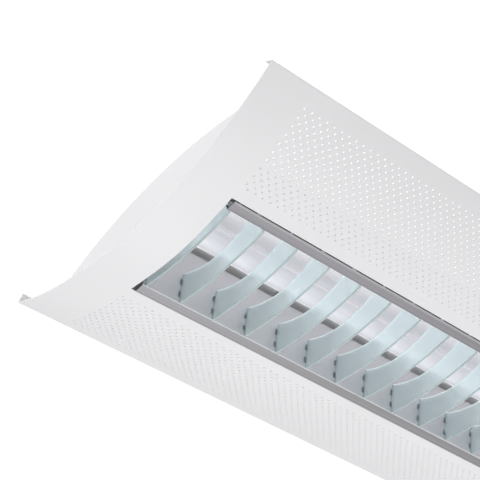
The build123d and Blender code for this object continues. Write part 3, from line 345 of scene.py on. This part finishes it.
# gear tray: a lighter white than the other coats, with a painted glow; painted light that brightens the shaded strip
# seen past the lamp
TRAY_PAINT_GLOWING = paint("gear_tray_white_painted_glow", (0.86, 0.855, 0.865), 0.5, 500.0, 0.00003, 0.055)
EDGE_LOW = blade_edge("blade_edge_lower", (0.40, 0.48, 0.485))
EDGE_UP = blade_edge("blade_edge_upper", (0.90, 0.97, 0.97))
# upper rim of the blades: emission, a painted highlight
EDGE_RIM_GLOW = blade_edge("blade_edge_rim_painted_glow", (0.90, 0.97, 0.97), 0.30)
EDGE_SIDE = blade_edge("blade_edge_side", (0.70, 0.84, 0.83))

for node in NODES.values():
    for slot in node.material_slots:
        slot.material = FINISH[slot.material.name.split(".")[0]]
# the gear tray takes the lighter, glowing paint: painted light
for slot in NODES["gear_tray"].material_slots:
    slot.material = TRAY_PAINT_GLOWING


# ---------------------------------------------------------------------------
# bent sheet metal as a mesh: a flat layout in (x, s), bent along s, given a thickness
# ---------------------------------------------------------------------------
class Profile:
    """A section line in (y, z) with a point on its other face for each length s along it."""

    def __init__(self, points, normals, thickness):
        self.p = np.array(points, float)
        self.n = np.array(normals, float)
        self.n /= np.linalg.norm(self.n, axis=1)[:, None]
        step = np.linalg.norm(np.diff(self.p, axis=0), axis=1)
        self.s = np.concatenate([[0.0], np.cumsum(step)])
        self.t = thickness

    def at(self, s):
        y = np.interp(s, self.s, self.p[:, 0])
        z = np.interp(s, self.s, self.p[:, 1])
        ny = np.interp(s, self.s, self.n[:, 0])
        nz = np.interp(s, self.s, self.n[:, 1])
        k = np.hypot(ny, nz)
        return y, z, ny / k, nz / k

    def s_of(self, y=None, z=None):
        """The length at which the line first passes that y or z."""
        column, value = (0, y) if z is None else (1, z)
        c = self.p[:, column] - value
        i = int(np.flatnonzero(np.sign(c[:-1]) != np.sign(c[1:]))[0])
        f = c[i] / (c[i] - c[i + 1])
        return self.s[i] + f * (self.s[i + 1] - self.s[i])


def rounded(points, radii, step=0.15):
    """A polyline with its corners rounded, as points and left-hand normals."""
    pts, nrm = [], []
    P = [np.array(p, float) for p in points]
    for i, p in enumerate(P):
        if i in (0, len(P) - 1):
            d = P[1] - P[0] if i == 0 else P[-1] - P[-2]
            d /= np.linalg.norm(d)
            pts.append(p)
            nrm.append((-d[1], d[0]))
            continue
        a, b = P[i] - P[i - 1], P[i + 1] - P[i]
        a /= np.linalg.norm(a)
        b /= np.linalg.norm(b)
        turn = math.acos(max(-1, min(1, float(a @ b))))
        side = 1 if a[0] * b[1] - a[1] * b[0] > 0 else -1
        r = radii[i]
        cut = r * math.tan(turn / 2)
        start = p - a * cut
        n0 = np.array((-a[1], a[0]))
        centre = start + n0 * side * r
        count = max(4, int(r * turn / step))
        for k in range(count + 1):
            w = side * turn * k / count
            c, s = math.cos(w), math.sin(w)
            v = start - centre
            pts.append(centre + np.array((v[0] * c - v[1] * s, v[0] * s + v[1] * c)))
            nrm.append((n0[0] * c - n0[1] * s, n0[0] * s + n0[1] * c))
    return pts, nrm


def bent_sheet(name, layout, faces, profile, side=1.0, angle=32.0, finish=None, rim=0,
               hole_points=None, hole_rim=0, reverse=None):
    """layout: points (x, s). faces: loops of their numbers. profile.n points away from the seen face.

    finish gives each face its finish by its middle s, reverse is that of the other side,
    rim that of the cut edges, and hole_rim that of the edges through hole_points."""
    xs = np.array([p[0] for p in layout], float)
    y, z, ny, nz = profile.at(np.array([p[1] for p in layout], float))
    seen = np.stack([xs, y * side, z + FOLD_Z], 1)
    back = np.stack([xs, (y + ny * profile.t) * side, z + nz * profile.t + FOLD_Z], 1)
    count = len(seen)
    a, b, c = seen[faces[0][0]], seen[faces[0][1]], seen[faces[0][2]]
    outward = -np.array([0.0, ny[faces[0][0]] * side, nz[faces[0][0]]])
    if np.cross(b - a, c - a) @ outward < 0:
        faces = [f[::-1] for f in faces]
    used = {}
    for f in faces:
        for i, v in enumerate(f):
            w = f[(i + 1) % len(f)]
            used[(v, w)] = used.get((v, w), 0) + 1
    rims = [(v, w) for v, w in used if (w, v) not in used]
    if hole_points:
        around = [hole_rim if v in hole_points else rim for v, w in rims]
    else:
        around = [rim] * len(rims)
    every = (
        [tuple(f) for f in faces]
        + [tuple(v + count for v in reversed(f)) for f in faces]
        + [(w, v, v + count, w + count) for v, w in rims]
    )
    mesh = bpy.data.meshes.new(name)
    mesh.from_pydata(np.vstack([seen, back]) * MM, [], every)
    kinds = [finish(sum(layout[v][1] for v in f) / len(f)) if finish else 0 for f in faces]
    others = kinds if reverse is None else [reverse] * len(kinds)
    mesh.polygons.foreach_set("material_index", kinds + others + around)
    mesh.validate()
    mesh.shade_smooth()
    mesh.set_sharp_from_angle(angle=math.radians(angle))
    obj = bpy.data.objects.new(name, mesh)
    bpy.context.scene.collection.objects.link(obj)
    return obj


class Layout:
    """Points and faces in (x, s), with each point kept once."""

    def __init__(self):
        self.points, self.faces, self.known = [], [], {}

    def point(self, x, s):
        key = (round(x, 4), round(s, 4))
        if key not in self.known:
            self.known[key] = len(self.points)
            self.points.append((x, s))
        return self.known[key]

    def band(self, lo, hi, xs_lo, xs_hi):
        """Faces between two lines of equal s, which may not share all their points."""
        common = sorted(set(round(x, 4) for x in xs_lo) & set(round(x, 4) for x in xs_hi))
        low, high = sorted(xs_lo), sorted(xs_hi)
        i = j = 0
        for a, b in zip(common, common[1:]):
            below, above = [], []
            while i < len(low) and round(low[i], 4) < b:
                if round(low[i], 4) >= a:
                    below.append(low[i])
                i += 1
            while j < len(high) and round(high[j], 4) < b:
                if round(high[j], 4) >= a:
                    above.append(high[j])
                j += 1
            loop = [self.point(x, lo) for x in below + [b]]
            loop += [self.point(x, hi) for x in reversed(above + [b])]
            self.faces.append(loop)


def ring_faces(outer_angles, inner_angles):
    """Triangles between two rings that go the same way round, as (ring, number) corners."""
    no, ni = len(outer_angles), len(inner_angles)
    start = min(range(ni), key=lambda i: abs((inner_angles[i] - outer_angles[0] + math.pi) % (2 * math.pi) - math.pi))
    turn = 2 * math.pi
    base = outer_angles[0]
    out = [(a - base) % turn for a in outer_angles] + [turn]
    first = (inner_angles[start] - base + math.pi) % turn - math.pi
    inn = [first + ((inner_angles[(start + i) % ni] - inner_angles[start]) % turn) for i in range(ni)] + [first + turn]
    tris, o, i = [], 0, 0
    while o < no or i < ni:
        if i >= ni or (o < no and out[o + 1] <= inn[i + 1]):
            tris.append((("o", o % no), ("o", (o + 1) % no), ("i", (start + i) % ni)))
            o += 1
        else:
            tris.append((("o", o % no), ("i", (start + i + 1) % ni), ("i", (start + i) % ni)))
            i += 1
    return tris


def wing_profile():
    """The sheet's seen face from the middle outwards, over the fold and up the lip."""
    pts, nrm = [], []
    fold = 3.2  # length kept free for the rounded fold
    y_end = HALF_W - 1.8
    for k, (cy, ch, r, end) in enumerate(SHEET_ARCS):
        y0 = 0.0 if k == 0 else cy_end
        cy_end = cy + r * math.sin(end) if k < 2 else y_end
        steps = int((cy_end - y0) / 0.5)
        for i in range(steps + 1):
            if k and i == 0:
                continue
            y = y0 + (cy_end - y0) * i / steps
            z = ch - math.sqrt(r * r - (y - cy) ** 2)
            pts.append((y, z))
            nrm.append(((cy - y) / r, (ch - z) / r))
    cy, ch, r, end = SHEET_ARCS[-1]
    z_fold = ch - math.sqrt(r * r - (HALF_W - cy) ** 2)
    tip = (HALF_W + LIP_W * LIP_DIR[0], z_fold + LIP_W * LIP_DIR[1])
    bend, turned = rounded([pts[-1], (HALF_W, z_fold), tip], [0, 1.15, 0], 0.12)
    return Profile(pts + bend[1:], nrm + turned[1:], SHEET_T)


def wing(name, side, first_row_shifted):
    prof = wing_profile()
    lay = Layout()
    half = HOLE_PITCH / 2
    grid = [-HOLE_X0 - half + half * m for m in range(262)]
    ends_l = [-HALF_L, -640.0, -622.0, grid[0]]
    ends_r = [-x for x in reversed(ends_l)]
    s_open = prof.s_of(y=OPEN_Y[side])
    s_row = prof.s_of(y=ROW_Y0)
    s_first = s_row - ROW_PITCH / 2
    s_last = s_first + ROW_PITCH * HOLE_ROWS
    s_bend = prof.s_of(y=HALF_W - 1.8)
    s_total = float(prof.s[-1])
    # beside the opening
    lines = list(np.linspace(0, s_open, 17))
    left = ends_l + [-OPEN_X]
    for lo, hi in zip(lines, lines[1:]):
        lay.band(lo, hi, left, left)
        lay.band(lo, hi, [-x for x in left], [-x for x in left])
    # between the opening and the holes
    full = ends_l[:-1] + grid + ends_r[1:]
    with_open = sorted(full + [-OPEN_X, OPEN_X])
    middle = (s_open + s_first) / 2
    lay.band(s_open, middle, with_open, with_open)
    lay.band(middle, s_first, with_open, full)
    # rows of holes
    outer_angles = [math.atan2(ROW_PITCH / 2 * v, half * u) for u, v in ((1, 1), (0, 1), (-1, 1), (-1, -1), (0, -1), (1, -1))]
    inner_angles = [2 * math.pi * (i + 0.5) / HOLE_SIDES for i in range(HOLE_SIDES)]
    pattern = ring_faces(outer_angles, inner_angles)
    hole_points = set()
    for row in range(HOLE_ROWS):
        lo, hi = s_first + ROW_PITCH * row, s_first + ROW_PITCH * (row + 1)
        shifted = (row % 2 == 0) == first_row_shifted
        lay.band(lo, hi, ends_l, ends_l)
        lay.band(lo, hi, ends_r, ends_r)
        if shifted:
            lay.band(lo, hi, grid[:2], grid[:2])
        else:
            lay.band(lo, hi, grid[-2:], grid[-2:])
        sc = (lo + hi) / 2
        for k in range(130):
            m = 2 * k + (1 if shifted else 0)
            a, mid, b = grid[m], grid[m + 1], grid[m + 2]
            ring = [lay.point(x, s) for x, s in ((b, hi), (mid, hi), (a, hi), (a, lo), (mid, lo), (b, lo))]
            start = len(lay.points)
            hole_points.update(range(start, start + HOLE_SIDES))
            lay.points += [(mid + HOLE_R * math.cos(w), sc + HOLE_R * math.sin(w)) for w in inner_angles]
            for tri in pattern:
                lay.faces.append([ring[n] if r == "o" else start + n for r, n in tri])
    # outside the holes, over the fold, up the lip
    coarse = ends_l[:-1] + grid[::1] + ends_r[1:]
    lines = list(np.linspace(s_last, s_bend, 4)) + list(np.linspace(s_bend, s_bend + 3.4, 9))[1:]
    lines += list(np.linspace(lines[-1], s_total, 4))[1:]
    for lo, hi in zip(lines, lines[1:]):
        lay.band(lo, hi, coarse, coarse)
    obj = bent_sheet(name, lay.points, lay.faces, prof, side, hole_points=hole_points, hole_rim=1)
    obj.data.materials.append(FINISH["white_paint"])
    obj.data.materials.append(HOLE_WALL_LIT)
    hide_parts("wing_sheet")
    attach(obj, "fixture")
    return obj


wing("perforated_wing_front", -1.0, True)
wing("perforated_wing_rear", 1.0, False)


# ---------------------------------------------------------------------------
# side reflectors with their trims: bent strips with rounded bends and slots
# ---------------------------------------------------------------------------
REFLECTOR_LINE = [
    (76.2, -42.4),
    (75.0, -43.8),
    (64.2, -43.3),
    (62.7, -33.0),
    (58.8, -18.5),
    (55.0, -9.5),
    (44.5, 12.5),
    (45.3, 13.9),
]
REFLECTOR_R = [0, 0.3, 0.75, 45.0, 45.0, 60.0, 0.35, 0]
SLOT_LEFT, SLOT_RIGHT = 3.3, 1.45


def reflector(name, node, side, trim, bevel):
    pts, nrm = rounded(REFLECTOR_LINE, REFLECTOR_R, 0.25)
    nrm = [(-a, -b) for a, b in nrm]  # away from the seen face
    prof = Profile(pts, nrm, 0.8)
    xs = [-596.5]
    for x in BLADE_X:
        xs += [x - SLOT_LEFT, x + SLOT_RIGHT]
    xs.append(596.5)
    slots = sorted(prof.s_of(z=v) for v in (-36.1, -29.9, -21.9, -15.9))
    # the line passes these heights once past the trim's inner edge
    inner = prof.s_of(y=64.25)
    base = list(np.linspace(0, 2.0, 6)) + list(np.linspace(2.6, inner - 0.5, 8))
    base += [inner + d for d in (-0.2, 0.1, 0.4, 0.7, 1.0, 1.4, 2.0)]
    rest = [s for s in np.linspace(inner + 5, prof.s[-1] - 3.2, 16) if all(abs(s - q) > 1.0 for q in slots)]
    tail = list(np.linspace(prof.s[-1] - 2.4, prof.s[-1], 6))
    ss = sorted(set([float(v) for v in base + rest + tail + slots]))
    lay = Layout()
    for lo, hi in zip(ss, ss[1:]):
        mid = (lo + hi) / 2
        slotted = slots[0] <= mid <= slots[1] or slots[2] <= mid <= slots[3]
        for a, b in zip(xs, xs[1:]):
            if slotted and b - a < 6.0:
                continue
            lay.faces.append([lay.point(a, lo), lay.point(b, lo), lay.point(b, hi), lay.point(a, hi)])
    obj = bent_sheet(
        name, lay.points, lay.faces, prof, side, 28.0,
        # finish by s: outer bend 3 (a painted highlight on the front strip), trim 0, inner bend 2 (a painted
        # highlight), reflector face 1; cut edges and back 4
        lambda s: 3 if s < 1.85 else 0 if s < inner - 0.5 else 2 if s < inner + 1.0 else 1, 4,
        reverse=4,
    )
    for m in (trim, REFLECTING, INNER_BEND_HIGHLIGHT, bevel, MILL):
        obj.data.materials.append(m)
    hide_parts(node)
    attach(obj, "louvre")
    return obj


reflector("reflector_strip_front", "side_reflector_front", -1.0, TRIM_FRONT_SHADED, BEVEL_HIGHLIGHT)
reflector("reflector_strip_rear", "side_reflector_rear", 1.0, FINISH["satin_aluminium"], FINISH["satin_aluminium"])


# ---------------------------------------------------------------------------
# cross blades: cut plates with broken edges
# ---------------------------------------------------------------------------
def arc3(a, m, b, n):
    """Points from a to b on the circle through a, m and b, without the last."""
    (ax, ay), (mx, my), (bx, by) = a, m, b
    d = 2 * (ax * (my - by) + mx * (by - ay) + bx * (ay - my))
    ux = ((ax**2 + ay**2) * (my - by) + (mx**2 + my**2) * (by - ay) + (bx**2 + by**2) * (ay - my)) / d
    uy = ((ax**2 + ay**2) * (bx - mx) + (mx**2 + my**2) * (ax - bx) + (bx**2 + by**2) * (mx - ax)) / d
    r = math.hypot(ax - ux, ay - uy)
    t0, t1 = math.atan2(ay - uy, ax - ux), math.atan2(by - uy, bx - ux)
    while t1 - t0 > math.pi:
        t1 -= 2 * math.pi
    while t1 - t0 < -math.pi:
        t1 += 2 * math.pi
    return [(ux + r * math.cos(t0 + (t1 - t0) * i / n), uy + r * math.sin(t0 + (t1 - t0) * i / n)) for i in range(n)]


def blade_side():
    """A blade's end: it follows the reflector's face, with two tabs through the slots."""
    pts = [p for p in rounded(REFLECTOR_LINE, REFLECTOR_R, 0.25)[0] if p[0] < 64.1 and p[1] < 10.0]
    zs = [p[1] for p in pts]
    ys = [p[0] - 0.06 for p in pts]

    def face(z):
        return float(np.interp(z, zs, ys))

    side = [(63.9, -43.3), (face(-42.0), -42.0), (face(-39.0), -39.0), (face(-36.0), -36.0)]
    side += [(66.0, -36.0), (66.0, -30.0)]
    side += [(face(z), z) for z in (-30.0, -27.0, -24.0, -21.8)]
    side += [(62.6, -21.8), (62.6, -16.0)]
    side += [(face(z), z) for z in (-16.0, -12.5, -9.4)]
    return side


def blades():
    ends = blade_side()
    (wide_y, low_z), (top_y, top_z) = ends[0], ends[-1]
    low = arc3((-wide_y, low_z), (0, -48.6), (wide_y, low_z), 40)
    up = arc3((top_y, top_z), (0, -23.6), (-top_y, top_z), 40)
    right = ends[:-1]
    left = [(-y, z) for y, z in reversed(ends[1:])]
    outline = low + right + up + left
    # the material of each side of the outline: lower edge, upper edge, ends
    kind = [1] * len(low) + [3] * len(right) + [2] * len(up) + [3] * len(left)
    P = np.array(outline, float)
    n = len(P)
    before, after = P - np.roll(P, 1, 0), np.roll(P, -1, 0) - P
    before /= np.linalg.norm(before, axis=1)[:, None]
    after /= np.linalg.norm(after, axis=1)[:, None]
    nb = np.stack([-before[:, 1], before[:, 0]], 1)
    na = np.stack([-after[:, 1], after[:, 0]], 1)
    k = 1 / (1 + (nb * na).sum(1))
    # broken edges; the upper edge has a wider, flatter bevel
    first_up = len(low) + len(right)
    wide = np.full(n, 0.32)
    deep = np.full(n, 0.32)
    wide[first_up:first_up + len(up) + 1] = 1.05
    deep[first_up:first_up + len(up) + 1] = 0.26
    Q = P + (nb + na) * (k * wide)[:, None]
    verts, faces, index = [], [], []
    for x in BLADE_X:
        base = len(verts)
        for sign, at, ring in ((-1, 0, Q), (-1, 1, P), (1, 1, P), (1, 0, Q)):
            verts += [
                ((x + sign * (BLADE_T / 2 - at * d)) * MM, y * MM, (z + FOLD_Z) * MM)
                for (y, z), d in zip(ring, deep)
            ]
        for row in range(3):
            for i in range(n):
                j = (i + 1) % n
                a, b = base + row * n + i, base + row * n + j
                faces.append((a, b, b + n, a + n))
                # the bevels of the upper edge take the rim finish with the painted glow
                index.append(4 if kind[i] == 2 and row != 1 else kind[i])
        faces.append(tuple(base + i for i in reversed(range(n))))
        index.append(0)
        faces.append(tuple(base + 3 * n + i for i in range(n)))
        index.append(0)
    mesh = bpy.data.meshes.new("louvre_blades")
    mesh.from_pydata(verts, [], faces)
    mesh.polygons.foreach_set("material_index", index)
    bm = bmesh.new()
    bm.from_mesh(mesh)
    bmesh.ops.recalc_face_normals(bm, faces=bm.faces[:])
    bmesh.ops.triangulate(bm, faces=[f for f in bm.faces if len(f.verts) > 4])
    bm.to_mesh(mesh)
    bm.free()
    mesh.shade_smooth()
    mesh.set_sharp_from_angle(angle=math.radians(30))
    obj = bpy.data.objects.new("louvre_blades", mesh)
    bpy.context.scene.collection.objects.link(obj)
    for m in (FINISH["frosted_blade"], EDGE_LOW, EDGE_UP, EDGE_SIDE, EDGE_RIM_GLOW):
        mesh.materials.append(m)
    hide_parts("cross_blades")
    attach(obj, "louvre")
    return obj


blades()


# ---------------------------------------------------------------------------
# floor, light and camera
# ---------------------------------------------------------------------------
def floor():
    t = Tree("floor_pale")
    cloud = t.noise(t.stretch(1, 1, 1), 0.6, 3)
    base = t.ramp(cloud, [(0.3, grey(0.80)), (0.7, grey(0.82))])
    t.surface(base, 0.8, Specular_IOR_Level=0.1)
    mesh = bpy.data.meshes.new("floor")
    bm = bmesh.new()
    bmesh.ops.create_circle(bm, cap_ends=True, segments=96, radius=60.0)
    bm.to_mesh(mesh)
    bm.free()
    obj = bpy.data.objects.new("floor", mesh)
    obj.location = (0, 0, -4.7)
    mesh.materials.append(t.mat)
    bpy.context.scene.collection.objects.link(obj)


floor()

WORLD_LOW = 0.52
world = bpy.data.worlds.new("studio")
bpy.context.scene.world = world
world.use_nodes = True
wn, wl = world.node_tree.nodes, world.node_tree.links
wn.clear()
w_out = wn.new("ShaderNodeOutputWorld")
w_bg = wn.new("ShaderNodeBackground")
w_coord = wn.new("ShaderNodeTexCoord")
w_dot = wn.new("ShaderNodeVectorMath")
w_dot.operation = "DOT_PRODUCT"
w_dot.inputs[1].default_value = (0.4870668, 0.517727, 0.7033667)
wl.new(w_coord.outputs["Generated"], w_dot.inputs[0])
w_map = wn.new("ShaderNodeMapRange")
w_map.interpolation_type = "SMOOTHSTEP"
w_map.inputs["From Min"].default_value = math.cos(math.radians(34))
w_map.inputs["From Max"].default_value = math.cos(math.radians(16))
w_map.inputs["To Min"].default_value = WORLD_LOW
w_map.inputs["To Max"].default_value = 1.06
wl.new(w_dot.outputs["Value"], w_map.inputs["Value"])
wl.new(w_map.outputs["Result"], w_bg.inputs["Strength"])
w_bg.inputs["Color"].default_value = (1.0, 1.0, 1.0, 1)
wl.new(w_bg.outputs[0], w_out.inputs[0])


def softbox(name, place, target, size, power, colour=(1, 1, 1)):
    data = bpy.data.lights.new(name, "AREA")
    data.shape = "RECTANGLE"
    data.size, data.size_y = size
    data.energy = power
    data.color = colour
    obj = bpy.data.objects.new(name, data)
    obj.location = place
    obj.rotation_euler = (Vector(target) - Vector(place)).to_track_quat("-Z", "Y").to_euler()
    obj.visible_camera = False
    bpy.context.scene.collection.objects.link(obj)


softbox("soft_below", (-0.5, 0.7, -3.2), (-0.1, 0, 0), (3.2, 3.2), 50.0)
softbox("soft_far", (1.8, 2.3, -3.2), (0, 0, 0), (2.2, 2.2), 14.0)
softbox("soft_left", (-4.2, -0.4, -0.15), (-0.6, 0, 0), (2.4, 2.4), 81.0)
softbox("soft_top", (1.2, 2.6, 2.8), (0, 0, 0), (3.0, 3.0), 60.0)
softbox("soft_front", (-0.6, -3.2, 2.2), (0, 0, 0), (2.6, 2.6), 60.0)

cam_data = bpy.data.cameras.new("camera")
cam_data.sensor_width = 36.0
cam_data.lens = 108.37948
cam = bpy.data.objects.new("camera", cam_data)
bpy.context.scene.collection.objects.link(cam)
right = Vector((0.7625087, -0.6447681, -0.0534271))
up = Vector((-0.4258478, -0.5623458, 0.7088165))
backward = Vector((-0.4870668, -0.517727, -0.7033667))
turn = Matrix((right, up, backward)).transposed().to_4x4()
cam.matrix_world = Matrix.Translation((-1.2313146, -0.7537879, -1.0740930)) @ turn
bpy.context.scene.camera = cam

bpy.context.scene.view_settings.view_transform = "Standard"
